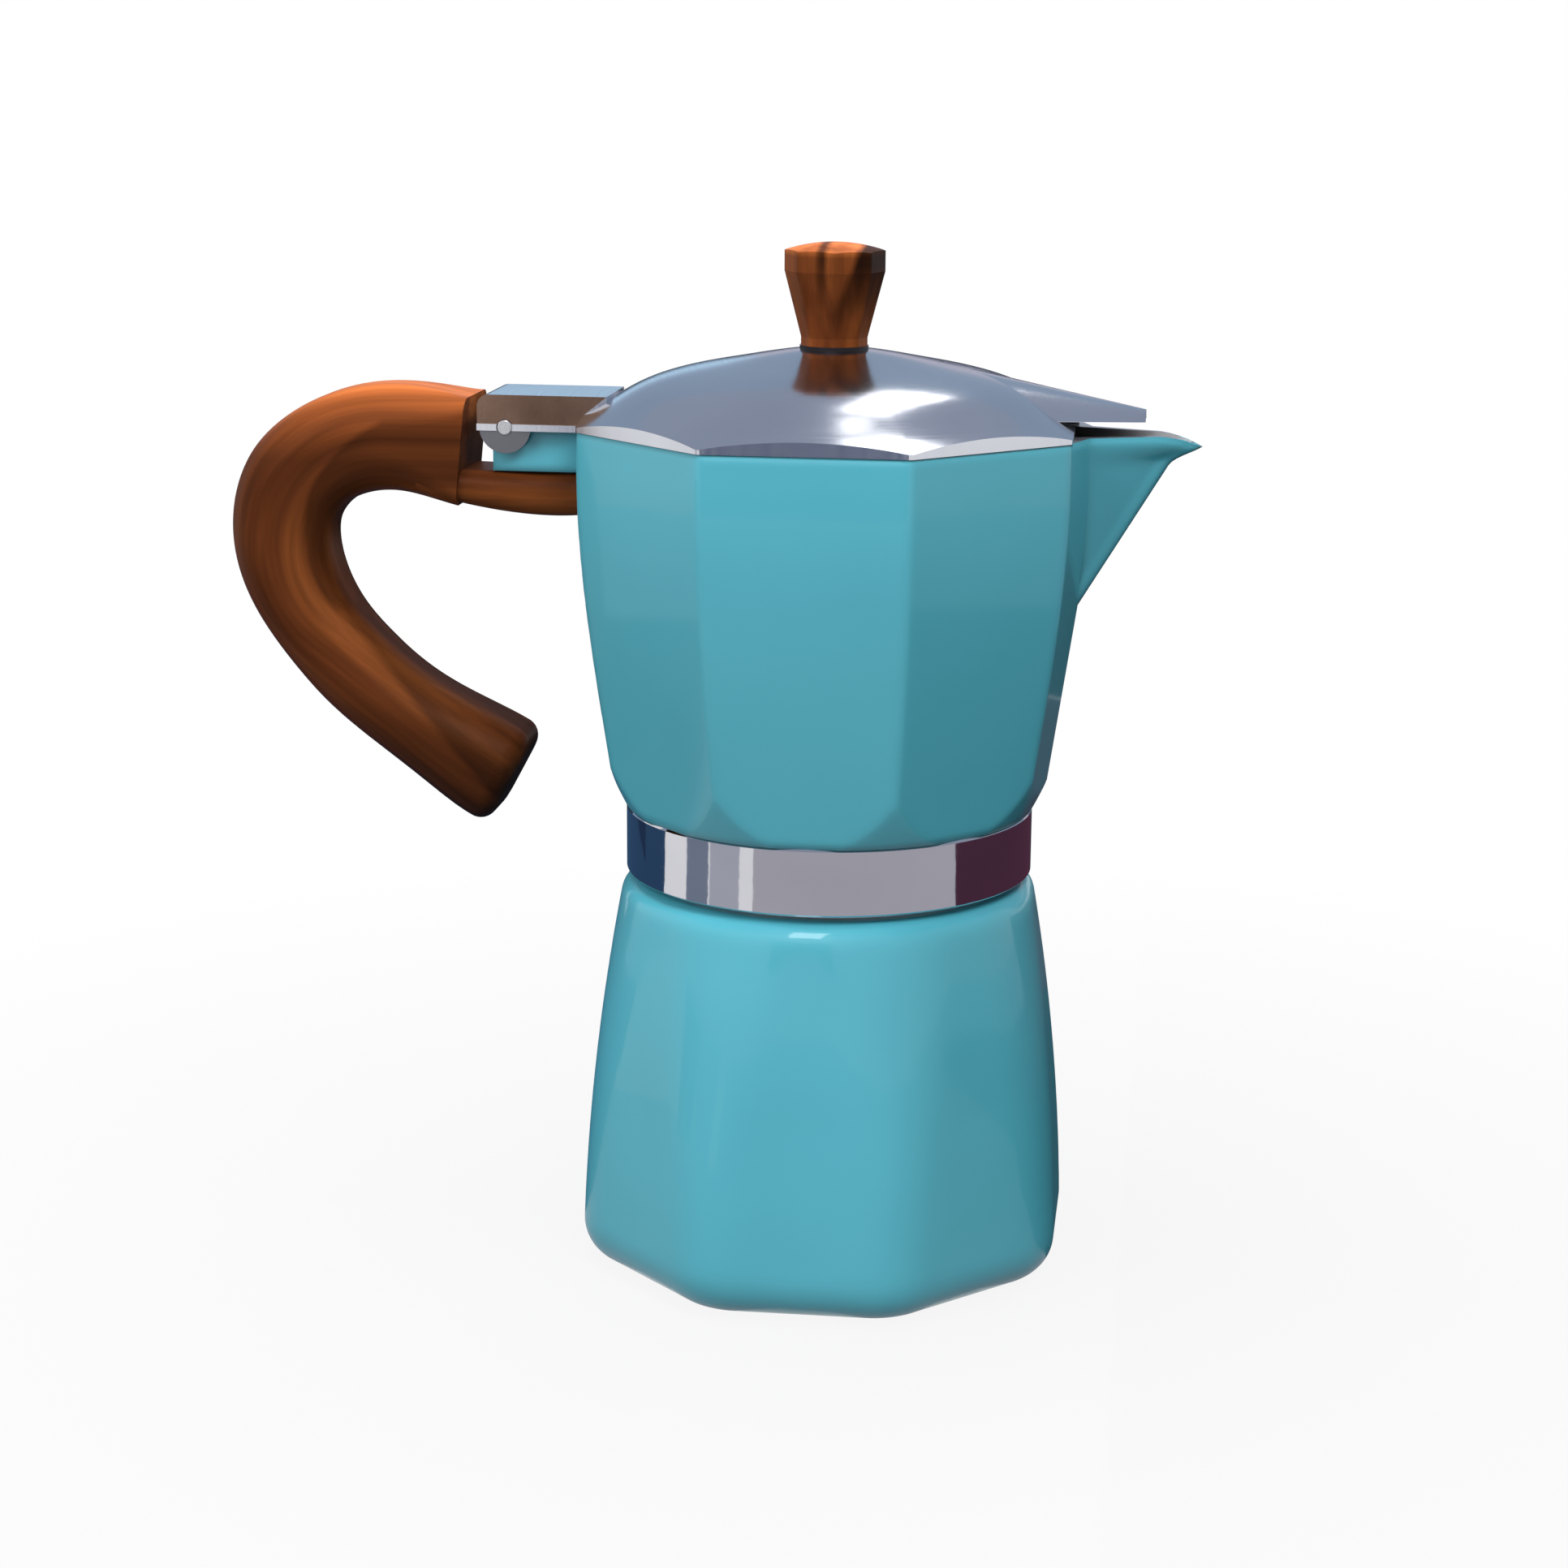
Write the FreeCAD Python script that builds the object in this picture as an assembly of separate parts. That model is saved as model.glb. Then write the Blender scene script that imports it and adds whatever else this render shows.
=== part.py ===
import FreeCAD, Part
import math
import os

V = FreeCAD.Vector

# Stove-top coffee pot of the six-cup size, in millimetres. The origin is the middle of the foot on the
# stove, +Z is up, +X is the spout, -X is the handle. Flats of the eight-sided bodies face X and Y.

# Boiler: cast vessel, eight soft sides at the foot that turn round towards the threaded neck
neck_radius = 35.2
neck_wall = 4.0
neck_height = 10.4
boiler_height = 77.6
shoulder_ledge = 5.0
shoulder_flat_left = 3.2
shoulder_round = 4.0
belly_spread = 5.1
belly_rise = 38.0
belly_corner = 23.0
foot_spread = 1.9
foot_corner = 15.0
foot_round = 8.0
boiler_wall = 3.0
boiler_floor = 4.0
boiler_inner_round = 7.0

# Safety valve on the back flat of the boiler
valve_rise = 54.0
valve_bore_radius = 3.0
valve_thread_wall = 2.0
valve_hex_proud = 1.5
valve_hex_length = 5.0
valve_collar_wall = 1.4
valve_collar_length = 4.0
valve_washer_proud = 1.0
valve_washer_thickness = 0.8
valve_boss_rim = 1.0
valve_boss_proud = 1.6
valve_boss_inside = 1.5
valve_inside_length = 4.0
valve_seat_wall = 1.4
valve_inlet_radius = 1.5
plunger_gap = 0.4
plunger_disc_length = 1.6
plunger_stem_radius = 0.9
plunger_stem_proud = 1.6
retainer_length = 1.6
spring_wire_radius = 0.25
spring_coils = 5
spring_seat_gap = 0.05

# Funnel that holds the ground coffee, with the perforated disc in its foot
funnel_wall = 0.8
funnel_gap = 0.7
funnel_flange_inset = 1.0
funnel_cup_depth = 22.0
funnel_cone_depth = 13.0
stem_radius = 5.5
stem_lap = 6.0
stem_foot_gap = 6.0
screen_thickness = 0.8
screen_gap = 0.05
hole_radius = 0.9
hole_pitch = 5.6
hole_margin = 2.5

# Gasket and filter plate under the upper chamber
gasket_lap = 4.2
gasket_gap = 0.9
gasket_thickness = 3.0
filter_seat = 2.4
filter_thickness = 0.8
filter_bead_rise = 0.6
filter_bead_width = 1.0
filter_gap = 0.3

# Waist: threaded skirt of the chamber with the polished band round it
thread_gap = 1.1
skirt_wall = 1.7
band_wall = 2.0
band_height = 13.0
band_bevel = 0.4
waist_gap = 1.4

# Upper chamber: cast eight-sided jug whose corners are drawn in to the band by a round bowl
chamber_height = 74.0
chamber_foot_inset = 0.4
chamber_low_spread = 3.6
chamber_low_rise = 25.0
chamber_high_spread = 2.8
chamber_high_rise = 50.0
chamber_rim_spread = 0.5
chamber_wall = 2.8
chamber_floor = 4.6
chamber_floor_least = 2.0
edge_round = 1.5
bowl_round_height = 14.5
bowl_round_reach = 5.9
bowl_middle_height = 6.4
bowl_middle_reach = 3.1
keel_foot_proud = 2.4
keel_rim_proud = 6.2
recess_step = 2.0

# Spout: two flat walls that meet in a rounded nose, with a drawn-out lip
spout_crease_proud = 2.4
spout_crease_half = 8.0
spout_root_drop = 33.0
spout_root_depth = 8.0
spout_nose_round = 1.2
spout_nose_proud = 17.6
spout_nose_drop = 6.4
spout_run_out = 0.6
spout_run_length = 42.0
spout_wall = 2.2
lip_middle_proud = 3.4
lip_middle_drop = 3.8
lip_tip_proud = 6.3
lip_tip_drop = 2.4
lip_tip_edge = 0.2
lip_run_on = 1.5
lip_dip_back = 1.5
lip_dip_middle = 0.7

# Coffee column that stands in the chamber
column_bore_radius = 3.8
column_top_wall = 2.2
column_spigot_wall = 2.6
column_spigot_length = 5.6
column_spigot_gap = 0.05
column_foot_ledge = 1.8
column_height = 38.0
column_top_bevel = 2.0
column_cap = 3.2
outlet_width = 4.0
outlet_height = 5.0
boss_rim = 3.6
boss_height = 6.0

# Lid: domed casting trimmed to eight sides, with a lip inside the jug and a hood over the spout
lid_overhang = 0.3
lid_apex_rise = 15.2
lid_middle_inset = 26.5
lid_middle_rise = 12.6
lid_slope_inset = 8.5
lid_slope_rise = 7.6
lid_flat_rise = 2.6
lid_corner_rise = 0.1
lid_corner_slope = 0.75
lid_wall = 2.0
lid_lip_depth = 2.0
lid_lip_wall = 1.6
lid_lip_gap = 0.7
lid_lip_root = 2.5
lid_lip_shoulder = 0.8
lid_lip_mouth_side = 2.0
lid_lip_mouth_back = 12.0
knob_pad_radius = 6.6
knob_pad_rise = 0.4
knob_boss_depth = 3.5
hood_proud = 13.3
hood_start = 20.0
hood_root_half = 11.0
hood_root_rise = 3.2
hood_root_crown = 4.1
hood_tip_half = 4.2
hood_tip_rise = 2.6
hood_tip_crown = 2.0
hood_wall = 1.5
hood_edge = 0.05
hood_mouth_side = 0.4
hood_mouth_back = 6.0

# Hinge between the lid's channel bracket and the chamber's lug
hinge_stand_off = 15.8
hinge_drop = 0.6
hinge_pin_radius = 1.5
hinge_running_gap = 0.05
press_gap = 0.02
pin_end_proud = 0.4
pin_end_round = 0.3
knuckle_wall = 2.9
knuckle_gap = 0.4
lug_half = 7.0
lug_drop = 0.8
lug_tail_inset = 1.5
bracket_gap = 0.35
bracket_wall = 2.2
bracket_plate = 1.4
bracket_tail = 5.4
bracket_root = 10.4
bracket_corner = 2.2
bracket_lap = 4.0
bracket_rim_gap = 0.4
bracket_lug_gap = 0.5
ear_wall = 3.5
ledge_height = 1.3
ledge_proud = 0.5
swing_gap = 0.5

# Screws, washers and the holes for them
screw_radius = 2.0
screw_gap = 0.1
screw_head_lap = 1.6
screw_head_height = 2.2
screw_head_round = 0.8
screw_slot_width = 1.0
screw_slot_depth = 1.2
screw_end_gap = 0.5
washer_thickness = 0.7

# Handle: moulded grip screwed to the lug from below
handle_width = 21.0
handle_end_round = 3.5
shelf_width = 17.0
shelf_height = 8.2
shelf_inset = 1.8
shelf_seat_gap = 0.1
shelf_wall_gap = 0.3
shelf_corner = 3.4
handle_screw_inset = 9.0
handle_screw_bite = 6.5
head_pocket_gap = 0.3
head_pocket_recess = 0.5

# Stations along the grip: distance behind the front face, rise above the lug's top, thickness, corner
grip_stations = [
    (0.0, -5.0, 21.0, 3.0),
    (7.0, -3.7, 20.8, 6.0),
    (15.0, -3.0, 20.8, 8.0),
    (28.4, -6.6, 20.4, 8.0),
    (36.3, -15.6, 20.2, 8.0),
    (37.2, -25.2, 19.6, 8.0),
    (34.1, -34.8, 18.4, 8.0),
    (27.2, -45.0, 17.4, 8.0),
    (16.8, -54.9, 17.4, 8.0),
    (7.6, -61.3, 18.4, 8.0),
    (-2.0, -67.2, 20.2, 7.0),
    (-8.0, -70.6, 19.4, 6.0),
]
grip_start_heading = (-1.0, 0.1)
grip_end_heading = (0.88, -0.47)

# Stations along the shelf under the lug: distance ahead of the handle's face, rise of the underside
shelf_stations = [(-9.0, 4.0), (-1.0, 2.0), (8.0, 0.2)]

# Knob on the lid
knob_height = 19.4
knob_foot_flats = 12.0
knob_top_flats = 18.0
knob_waist_rise = 1.5
knob_shoulder_rise = 14.0
knob_corner = 1.6
knob_dome_rise = 1.6
knob_turn = -17.0
insert_wall = 1.1
insert_length = 11.0
insert_end_gap = 0.1
knob_screw_bite = 7.5

# How far cutting shapes run past what they cut, and how close an edge lies to a level to be on it
overlap = 1.0
clear = 40.0
near = 0.01

# Radii, widths and levels that follow from the sizes above
HALF_STEP = math.radians(22.5)
mouth_radius = neck_radius - neck_wall
shoulder_flats = 2 * (neck_radius + shoulder_ledge)
shoulder_corner = shoulder_flats / 2 - shoulder_flat_left
belly_flats = shoulder_flats + 2 * belly_spread
foot_flats = belly_flats + 2 * foot_spread
valve_thread_radius = valve_bore_radius + valve_thread_wall
valve_hex_flats = 2 * (valve_thread_radius + valve_hex_proud)
valve_collar_radius = valve_bore_radius + valve_collar_wall
valve_washer_radius = valve_hex_flats / 2 + valve_washer_proud
valve_boss_radius = valve_washer_radius + valve_boss_rim
valve_boss_length = boiler_wall + valve_boss_proud + valve_boss_inside
plunger_disc_radius = valve_bore_radius - plunger_gap
neck_top = boiler_height + neck_height
funnel_radius = mouth_radius - funnel_gap
funnel_flange_radius = neck_radius - funnel_flange_inset
funnel_cup_foot = neck_top - funnel_cup_depth
funnel_cone_foot = funnel_cup_foot - funnel_cone_depth
flange_top = neck_top + funnel_wall
skirt_inner = neck_radius + thread_gap
skirt_outer = skirt_inner + skirt_wall
band_radius = skirt_outer + band_wall
skirt_foot = boiler_height + waist_gap
band_top = skirt_foot + band_height
gasket_inner_radius = mouth_radius - gasket_lap
gasket_outer_radius = skirt_inner - gasket_gap
gasket_top = flange_top + gasket_thickness
filter_radius = gasket_inner_radius + filter_seat
rim = band_top + chamber_height
chamber_foot_flats = 2 * (band_radius - chamber_foot_inset)
chamber_low_flats = chamber_foot_flats + 2 * chamber_low_spread
chamber_high_flats = chamber_low_flats + 2 * chamber_high_spread
rim_flats = chamber_high_flats + 2 * chamber_rim_spread
rim_reach = rim_flats / 2
jug_inside_flats = rim_flats - 2 * chamber_wall
floor_top = band_top + chamber_floor
boss_top = floor_top + boss_height
column_top = boss_top + column_height
column_spigot_radius = column_bore_radius + column_spigot_wall
column_foot_radius = column_spigot_radius + column_foot_ledge
column_top_radius = column_bore_radius + column_top_wall
boss_radius = column_spigot_radius + boss_rim
spout_crease_reach = rim_reach + spout_crease_proud
spout_nose_reach = rim_reach + spout_nose_proud
lip_tip_reach = spout_nose_reach + lip_tip_proud
lip_dip_start = spout_nose_reach - lip_dip_back
hood_reach = rim_reach + hood_proud
hinge_reach = rim_reach + hinge_stand_off
hinge_level = rim - hinge_drop
knuckle_radius = hinge_pin_radius + knuckle_wall
ear_radius = hinge_pin_radius + ear_wall
bracket_rise = knuckle_radius + knuckle_gap + bracket_plate
bracket_inner = lug_half + bracket_gap
bracket_outer = bracket_inner + bracket_wall
swing_radius = math.hypot(bracket_tail, bracket_rise)
lug_top = rim - lug_drop
lug_foot = hinge_level - swing_radius - swing_gap
lug_tail = hinge_reach + knuckle_radius - lug_tail_inset
handle_face = hinge_reach + swing_radius + swing_gap
pad_top = rim + lid_apex_rise + knob_pad_rise
knob_boss_foot = pad_top - lid_wall - knob_boss_depth
screw_head_radius = screw_radius + screw_head_lap
insert_radius = screw_radius + insert_wall
handle_screw_reach = rim_reach + handle_screw_inset
shelf_top = lug_foot - shelf_seat_gap
shelf_foot = shelf_top - shelf_height
head_pocket_depth = screw_head_height + washer_thickness + head_pocket_recess
handle_screw_level = shelf_foot + head_pocket_depth


def octagon(flats, level, corner):
    """Closed outline with eight flats and rounded corners, flats facing X and Y."""
    apothem = flats / 2
    corner_reach = apothem / math.cos(HALF_STEP)
    cut = corner * math.tan(HALF_STEP)
    arc_reach = corner_reach - corner / math.cos(HALF_STEP) + corner
    edges = []
    for side in range(8):
        here = HALF_STEP + side * math.pi / 4
        after = here + math.pi / 4
        along = here + HALF_STEP + math.pi / 2
        step = V(math.cos(along), math.sin(along), 0) * cut
        corner_point = V(corner_reach * math.cos(here), corner_reach * math.sin(here), level)
        next_point = V(corner_reach * math.cos(after), corner_reach * math.sin(after), level)
        before = here - HALF_STEP + math.pi / 2
        arrive = corner_point - V(math.cos(before), math.sin(before), 0) * cut
        middle = V(arc_reach * math.cos(here), arc_reach * math.sin(here), level)
        edges.append(Part.Arc(arrive, middle, corner_point + step).toShape())
        edges.append(Part.LineSegment(corner_point + step, next_point - step).toShape())
    return Part.Wire(edges)


def turned(points):
    """Solid of revolution about Z from a closed outline of (radius, level) points."""
    outline = [V(radius, 0, level) for radius, level in points]
    face = Part.Face(Part.makePolygon(outline + outline[:1]))
    return face.revolve(V(0, 0, 0), V(0, 0, 1), 360)


def tube(outer, inner, low, high):
    """Round tube or washer standing on Z."""
    body = Part.makeCylinder(outer, high - low, V(0, 0, low))
    return body.cut(Part.makeCylinder(inner, high - low, V(0, 0, low)))


def block(low, high):
    """Box between two corners given as (x, y, z)."""
    size = [top - bottom for bottom, top in zip(low, high)]
    return Part.makeBox(*size, V(*low))


def hex_bar(flats, length, place, direction):
    """Six-sided bar with its axis through place."""
    reach = flats / 2 / math.cos(math.pi / 6)
    points = [
        V(reach * math.cos(turn * math.pi / 3), reach * math.sin(turn * math.pi / 3), 0)
        for turn in range(7)
    ]
    bar = Part.Face(Part.makePolygon(points)).extrude(V(0, 0, length))
    bar.Placement = FreeCAD.Placement(place, FreeCAD.Rotation(V(0, 0, 1), direction))
    return bar


def perforation(low, high):
    """Hexagonal field of round holes inside the gasket's opening, as one shape to cut away."""
    rings = int((gasket_inner_radius - hole_margin) / hole_pitch)
    holes = []
    for row in range(-rings, rings + 1):
        for place in range(-rings, rings + 1):
            if abs(row + place) <= rings:
                x = hole_pitch * (place + row / 2)
                y = hole_pitch * row * math.sqrt(3) / 2
                holes.append(Part.makeCylinder(hole_radius, high - low, V(x, y, low)))
    return Part.makeCompound(holes)


def boiler_cavity():
    """Round inside of the boiler with a rounded floor, open through the neck."""
    low = foot_flats / 2 - boiler_wall
    high = shoulder_flats / 2 - boiler_wall
    ceiling = boiler_height - boiler_wall
    inside = turned(
        [
            (0, boiler_floor),
            (low, boiler_floor),
            (belly_flats / 2 - boiler_wall, belly_rise),
            (high, ceiling - (high - mouth_radius)),
            (mouth_radius, ceiling),
            (mouth_radius, neck_top + overlap),
            (0, neck_top + overlap),
        ]
    )
    floor_edges = [edge for edge in inside.Edges if edge.BoundBox.ZMax < boiler_floor + near]
    return inside.makeFillet(boiler_inner_round, floor_edges)


def boiler_body():
    body = Part.makeLoft(
        [
            octagon(foot_flats, 0, foot_corner),
            octagon(belly_flats, belly_rise, belly_corner),
            octagon(shoulder_flats, boiler_height, shoulder_corner),
        ],
        True,
    )
    body = body.makeFillet(foot_round, [edge for edge in body.Edges if edge.BoundBox.ZMax < near])
    shoulder_edges = [edge for edge in body.Edges if edge.BoundBox.ZMin > boiler_height - near]
    body = body.makeFillet(shoulder_round, shoulder_edges)
    body = body.fuse(Part.makeCylinder(neck_radius, neck_height + overlap, V(0, 0, boiler_height - overlap)))
    boss = valve_axis(-valve_boss_length, valve_boss_length, valve_boss_radius)
    bore = valve_axis(
        -valve_boss_length - overlap, valve_boss_length + 2 * overlap, valve_thread_radius + screw_gap
    )
    return body.cut(boiler_cavity()).fuse(boss).cut(bore).removeSplitter()


def valve_seat_face():
    """Distance from the axis to the machined face that the safety valve tightens on."""
    share = (valve_rise - belly_rise) / (boiler_height - belly_rise)
    flat = belly_flats / 2 + (shoulder_flats - belly_flats) / 2 * share
    return flat + valve_boss_proud



def valve_axis(start, length, radius):
    """Round bar on the valve's axis, from a distance outside the seat face."""
    return Part.makeCylinder(radius, length, V(0, valve_seat_face() + start, valve_rise), V(0, 1, 0))


def valve_ends():
    """Inner and outer end of the valve body, measured from the seat face."""
    inner = -(valve_boss_length + valve_inside_length)
    outer = valve_washer_thickness + valve_hex_length + valve_collar_length
    return inner, outer


def valve_body():
    inner, outer = valve_ends()
    hex_start = valve_washer_thickness
    place = V(0, valve_seat_face() + hex_start, valve_rise)
    body = hex_bar(valve_hex_flats, valve_hex_length, place, V(0, 1, 0))
    body = body.fuse(valve_axis(inner, hex_start - inner + overlap, valve_thread_radius))
    collar_start = hex_start + valve_hex_length - overlap
    body = body.fuse(valve_axis(collar_start, valve_collar_length + overlap, valve_collar_radius))
    chamber = valve_axis(inner + valve_seat_wall, outer - inner, valve_bore_radius)
    inlet = valve_axis(inner - overlap, valve_seat_wall + 2 * overlap, valve_inlet_radius)
    return body.cut(chamber).cut(inlet).removeSplitter()


def valve_washer():
    ring = valve_axis(0, valve_washer_thickness, valve_washer_radius)
    length = valve_washer_thickness + 2 * overlap
    return ring.cut(valve_axis(-overlap, length, valve_thread_radius + screw_gap))


def valve_plunger():
    inner, outer = valve_ends()
    disc_start = inner + valve_seat_wall
    disc = valve_axis(disc_start, plunger_disc_length, plunger_disc_radius)
    stem_length = outer + plunger_stem_proud - disc_start
    return disc.fuse(valve_axis(disc_start, stem_length, plunger_stem_radius)).removeSplitter()


def valve_retainer():
    inner, outer = valve_ends()
    start = outer - retainer_length
    ring = valve_axis(start, retainer_length, valve_bore_radius - press_gap)
    length = retainer_length + 2 * overlap
    return ring.cut(valve_axis(start - overlap, length, plunger_stem_radius + screw_gap))


def valve_spring():
    """Coil of round wire between the plunger's disc and the retainer, wound in quarter-turn arcs."""
    inner, outer = valve_ends()
    coil_radius = (plunger_stem_radius + valve_bore_radius) / 2
    seat = spring_wire_radius + spring_seat_gap
    low = inner + valve_seat_wall + plunger_disc_length + seat
    high = outer - retainer_length - seat
    pitch = (high - low) / spring_coils
    base = valve_seat_face() + low

    def on_coil(turns):
        angle = turns * 2 * math.pi
        across = coil_radius * math.cos(angle)
        return V(across, base + pitch * turns, valve_rise + coil_radius * math.sin(angle))

    arcs = []
    for quarter in range(round(4 * spring_coils)):
        begin, middle, end = [on_coil((quarter + share) / 4) for share in (0, 0.5, 1)]
        arcs.append(Part.Arc(begin, middle, end).toShape())
    heading = arcs[0].tangentAt(arcs[0].FirstParameter)
    section = Part.Wire(Part.makeCircle(spring_wire_radius, on_coil(0), heading))
    print("valve_spring: least gap between turns", round(pitch - 2 * spring_wire_radius, 2))
    return Part.Wire(arcs).makePipeShell([section], True, False)


def funnel_cup():
    inner = funnel_radius - funnel_wall
    return turned(
        [
            (funnel_flange_radius, neck_top),
            (funnel_flange_radius, flange_top),
            (inner, flange_top),
            (inner, funnel_cup_foot),
            (stem_radius, funnel_cone_foot + funnel_wall),
            (stem_radius, funnel_cone_foot - stem_lap),
            (stem_radius + funnel_wall, funnel_cone_foot - stem_lap),
            (stem_radius + funnel_wall, funnel_cone_foot),
            (funnel_radius, funnel_cup_foot),
            (funnel_radius, neck_top),
        ]
    )


def funnel_stem():
    foot = boiler_floor + stem_foot_gap
    return tube(stem_radius - press_gap, stem_radius - funnel_wall, foot, funnel_cone_foot)


def funnel_screen():
    low = funnel_cup_foot
    plate = Part.makeCylinder(funnel_radius - funnel_wall - screen_gap, screen_thickness, V(0, 0, low))
    return plate.cut(perforation(low - overlap, low + screen_thickness + overlap))


def gasket():
    return tube(gasket_outer_radius, gasket_inner_radius, flange_top, gasket_top)


def filter_plate():
    top = gasket_top + filter_thickness
    plate = Part.makeCylinder(filter_radius, filter_thickness, V(0, 0, gasket_top))
    bead = tube(filter_radius, filter_radius - filter_bead_width, gasket_top, top + filter_bead_rise)
    holes = perforation(gasket_top - overlap, top + overlap)
    return plate.fuse(bead).cut(holes).removeSplitter()


def waist_band():
    inner = skirt_outer + press_gap
    return turned(
        [
            (inner, skirt_foot),
            (band_radius - band_bevel, skirt_foot),
            (band_radius, skirt_foot + band_bevel),
            (band_radius, band_top - band_bevel),
            (band_radius - band_bevel, band_top),
            (inner, band_top),
        ]
    )


def chamber_sections(inset):
    """Flats and levels of the chamber wall, drawn in by inset."""
    stages = [
        (chamber_foot_flats, 0),
        (chamber_low_flats, chamber_low_rise),
        (chamber_high_flats, chamber_high_rise),
        (rim_flats, chamber_height),
    ]
    return [(flats - 2 * inset, band_top + rise) for flats, rise in stages]


def chamber_keel():
    """Shallow ridge that folds the spout side outward, growing towards the rim."""
    wires = []
    foot_nose = chamber_foot_flats / 2 + keel_foot_proud
    rim_nose = rim_reach + keel_rim_proud
    for flats, level in chamber_sections(press_gap):
        reach = flats / 2
        half = (reach - edge_round) * math.tan(HALF_STEP)
        root = reach - spout_root_depth
        nose = foot_nose + (rim_nose - foot_nose) * (level - band_top) / chamber_height
        points = [
            V(root, -half, level),
            V(reach, -half, level),
            V(nose, 0, level),
            V(reach, half, level),
            V(root, half, level),
        ]
        wires.append(Part.makePolygon(points + points[:1]))
    return Part.makeLoft(wires, True)


def spout_section(drop, nose, wall):
    """V outline of the spout at a drop below the rim, drawn in by wall."""
    level = rim - drop
    root = rim_reach - spout_root_depth
    radius = spout_nose_round
    centre = nose - radius - wall
    widening = (spout_nose_drop - drop) / (spout_root_drop - spout_nose_drop)
    half = spout_crease_half * (1 + widening) - wall
    reach = math.hypot(centre - spout_crease_reach, half)
    lean = math.atan2(half, centre - spout_crease_reach) - math.asin(radius / reach)
    touch_x = centre + radius * math.sin(lean)
    touch_y = radius * math.cos(lean)
    root_half = touch_y + (touch_x - root) * math.tan(lean)
    near_root = V(root, -root_half, level)
    near_touch = V(touch_x, -touch_y, level)
    far_touch = V(touch_x, touch_y, level)
    far_root = V(root, root_half, level)
    edges = [
        Part.LineSegment(near_root, near_touch).toShape(),
        Part.Arc(near_touch, V(centre + radius, 0, level), far_touch).toShape(),
        Part.LineSegment(far_touch, far_root).toShape(),
        Part.LineSegment(far_root, near_root).toShape(),
    ]
    return Part.Wire(edges)


def spout_solid(wall):
    """Spout as a leaning prism below and a flared lip above, drawn in by wall."""
    start = spout_section(spout_nose_drop, spout_nose_reach, wall)
    lean = V(-spout_run_out * spout_run_length, 0, -spout_run_length)
    prism = Part.Face(start).extrude(lean)
    stations = [
        (spout_nose_drop, spout_nose_reach),
        (lip_middle_drop, spout_nose_reach + lip_middle_proud),
        (lip_tip_drop, lip_tip_reach),
        (-overlap, lip_tip_reach + lip_run_on),
    ]
    lip = Part.makeLoft([spout_section(drop, nose, wall) for drop, nose in stations], True)
    return prism.fuse(lip)


def spout_top_cut():
    """What lies above the spout's rim, which dips towards the tip of the lip."""
    low = rim - lip_tip_drop + lip_tip_edge
    middle = (lip_dip_start + lip_tip_reach) / 2
    side = -rim_reach
    start = V(lip_dip_start, side, rim)
    tip = V(lip_tip_reach, side, low)
    corners = [
        tip,
        V(lip_tip_reach + clear, side, low),
        V(lip_tip_reach + clear, side, rim + clear),
        V(lip_dip_start, side, rim + clear),
        start,
    ]
    edges = [Part.Arc(start, V(middle, side, rim - lip_dip_middle), tip).toShape()]
    for here, after in zip(corners, corners[1:]):
        edges.append(Part.LineSegment(here, after).toShape())
    return Part.Face(Part.Wire(edges)).extrude(V(0, rim_flats, 0))


def chamber_lug():
    """Block on the handle side, with the hinge knuckle on top of its tail."""
    body = block((-lug_tail, -lug_half, lug_foot), (-rim_reach + chamber_wall, lug_half, lug_top))
    return body.fuse(hinge_bar(knuckle_radius, lug_half))


def hinge_bar(radius, half):
    """Round bar on the hinge's axis, half its length to each side."""
    return Part.makeCylinder(radius, 2 * half, V(-hinge_reach, -half, hinge_level), V(0, 1, 0))


def chamber_bowl():
    """Round form that draws the corners of the chamber in to the band."""
    middle = V(band_radius + bowl_middle_reach, 0, band_top + bowl_middle_height)
    arc_end = V(band_radius + bowl_round_reach, 0, band_top + bowl_round_height)
    base = [V(0, 0, band_top), V(band_radius, 0, band_top)]
    corners = [arc_end, V(rim_flats, 0, rim - spout_run_length), V(rim_flats, 0, rim), V(0, 0, rim), base[0]]
    edges = [Part.LineSegment(*base).toShape(), Part.Arc(base[1], middle, arc_end).toShape()]
    for here, after in zip(corners, corners[1:]):
        edges.append(Part.LineSegment(here, after).toShape())
    return Part.Face(Part.Wire(edges)).revolve(V(0, 0, 0), V(0, 0, 1), 360)


def chamber_underside():
    """Room under the chamber's floor: thread bore, gasket seat, filter recess and throat."""
    recess_top = gasket_top + filter_thickness + filter_bead_rise + filter_gap
    recess_radius = filter_radius + filter_gap
    throat = column_spigot_radius + column_spigot_gap
    return turned(
        [
            (0, skirt_foot - overlap),
            (skirt_inner, skirt_foot - overlap),
            (skirt_inner, gasket_top),
            (recess_radius, gasket_top),
            (recess_radius, recess_top),
            (filter_radius - recess_step, recess_top),
            (throat, floor_top - chamber_floor_least),
            (throat, boss_top + overlap),
            (0, boss_top + overlap),
        ]
    )


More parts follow.
